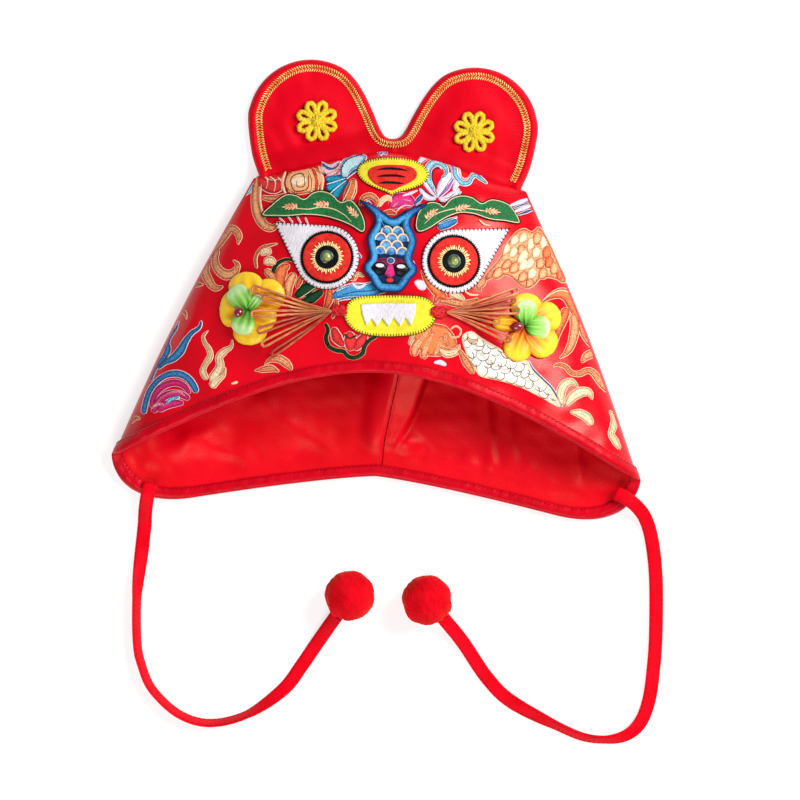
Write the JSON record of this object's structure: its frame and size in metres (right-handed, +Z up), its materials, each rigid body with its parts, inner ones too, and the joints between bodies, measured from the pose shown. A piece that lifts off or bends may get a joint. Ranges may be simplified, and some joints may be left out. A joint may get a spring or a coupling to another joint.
{
  "type": "tiger hat",
  "caption": "Child's padded satin hat shaped as a tiger's head, with round ears, a stitched face, whisker tassels and two ties that end in pompoms.",
  "frame": {"origin": "under the middle of the hat without its ties, on the surface that it lies on", "axes": "+X across the hat from fold to fold, +Y from the mouth to the ears, +Z up, from the back panel to the face"},
  "size_m": [0.2791, 0.3373, 0.0454],
  "materials": {
    "satin": "glossy red satin brocade with coloured embroidery",
    "lining": "smooth red lining cloth",
    "binding": "red satin bias strip with a stitched edge",
    "braid": "gold braid in two rows of stitches",
    "yellow_yarn": "yellow crochet yarn",
    "yellow_felt": "yellow felt, blanket-stitched in dark thread",
    "red_felt": "red felt",
    "black_felt": "black cloth and thread",
    "green_satin": "green brocade with a pale edge and gold sprigs",
    "white_felt": "white felt, blanket-stitched in black thread",
    "gold_thread": "gold thread stitches",
    "bead_gold": "small faceted green-gold bead",
    "blue_satin": "blue satin roll wound with thread",
    "dark_cloth": "dark blue-green cloth",
    "white_cloth": "white cloth, folded",
    "copper_thread": "shiny copper and gold strands",
    "petal_cloth": "yellow cloth petals shaded with orange",
    "leaf_cloth": "green and pale green cloth",
    "bead_red": "shiny dark red bead",
    "tie_satin": "flat red satin tie with a stitched edge",
    "fleece": "red curly fleece"
  },
  "bodies": {
    "root": {"shell": "satin", "lining": "lining", "hem_binding": "binding", "ear_pad": "satin", "ear_braid": "braid", "ear_flower_left": "yellow_yarn", "ear_flower_knot_left": "yellow_yarn", "ear_flower_right": "yellow_yarn", "ear_flower_knot_right": "yellow_yarn", "forehead_patch": "yellow_felt", "forehead_shield": "red_felt", "forehead_stripe_1": "black_felt", "forehead_stripe_2": "black_felt", "forehead_stripe_3": "black_felt", "brow_left": "green_satin", "brow_right": "green_satin", "eye_white_left": "white_felt", "eye_ring_left": "black_felt", "eye_iris_left": "red_felt", "eye_lashes_left": "gold_thread", "eye_pupil_left": "black_felt", "eye_bead_left": "bead_gold", "eye_white_right": "white_felt", "eye_ring_right": "black_felt", "eye_iris_right": "red_felt", "eye_lashes_right": "gold_thread", "eye_pupil_right": "black_felt", "eye_bead_right": "bead_gold", "nose_roll": "blue_satin", "nose_cloth": "dark_cloth", "nose_scales": "gold_thread", "nose_eye_left": "black_felt", "nose_eye_right": "black_felt", "mouth": "yellow_felt", "teeth": "white_cloth", "whisker_knot_left": "red_felt", "whisker_tassel_left": "copper_thread", "flower_petals_left": "petal_cloth", "flower_leaf_left": "leaf_cloth", "flower_bead_left": "bead_red", "tie_left": "tie_satin", "pompom_left": "fleece", "whisker_knot_right": "red_felt", "whisker_tassel_right": "copper_thread", "flower_petals_right": "petal_cloth", "flower_leaf_right": "leaf_cloth", "flower_bead_right": "bead_red", "tie_right": "tie_satin", "pompom_right": "fleece"}
  },
  "joints": []
}
